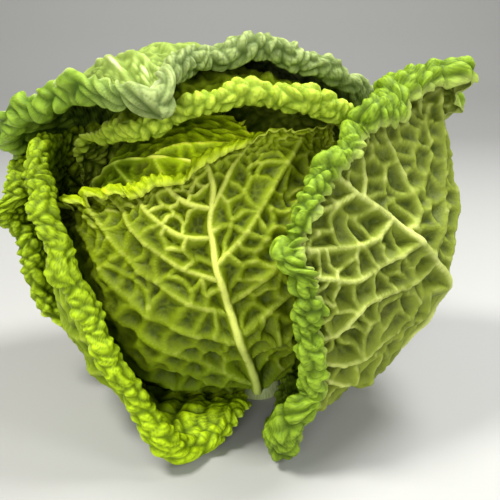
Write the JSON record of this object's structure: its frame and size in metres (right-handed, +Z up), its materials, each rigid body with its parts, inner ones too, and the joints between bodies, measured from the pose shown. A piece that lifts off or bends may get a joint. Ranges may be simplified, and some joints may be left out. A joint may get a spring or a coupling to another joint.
{
  "type": "savoy cabbage",
  "caption": "Savoy cabbage head: a tight ball of puckered leaves in a loose cup of blistered outer leaves with rolled edges, resting on its cut stalk.",
  "frame": {"origin": "centre of the stalk's flat cut face, on the surface the head stands on", "axes": "+Z up; -Y towards the open front of the head; +X to the right seen from the front, across the head's longest extent"},
  "size_m": [0.2596, 0.2166, 0.2069],
  "materials": {
    "stalk": "dull cut plant stem, pale",
    "heart": "waxy leaf, pale yellow-green",
    "right_head_leaf": "waxy puckered leaf, yellow-green",
    "left_head_leaf": "waxy puckered leaf, yellow-green",
    "front_head_leaf": "waxy puckered leaf with raised pale veins, yellow-green",
    "front_hood_leaf": "waxy blistered leaf, bright yellow-green",
    "left_side_leaf": "waxy blistered leaf, fresh green",
    "left_back_leaf": "waxy blistered leaf, dark green",
    "rear_hood_leaf": "waxy blistered leaf, blue-green",
    "right_side_leaf": "waxy puckered leaf with raised pale veins, grey-green"
  },
  "bodies": {
    "root": {"stalk": "stalk", "heart": "heart", "right_head_leaf": "right_head_leaf", "left_head_leaf": "left_head_leaf", "front_head_leaf": "front_head_leaf", "front_hood_leaf": "front_hood_leaf", "left_side_leaf": "left_side_leaf", "left_back_leaf": "left_back_leaf", "rear_hood_leaf": "rear_hood_leaf", "right_side_leaf": "right_side_leaf"}
  },
  "joints": []
}
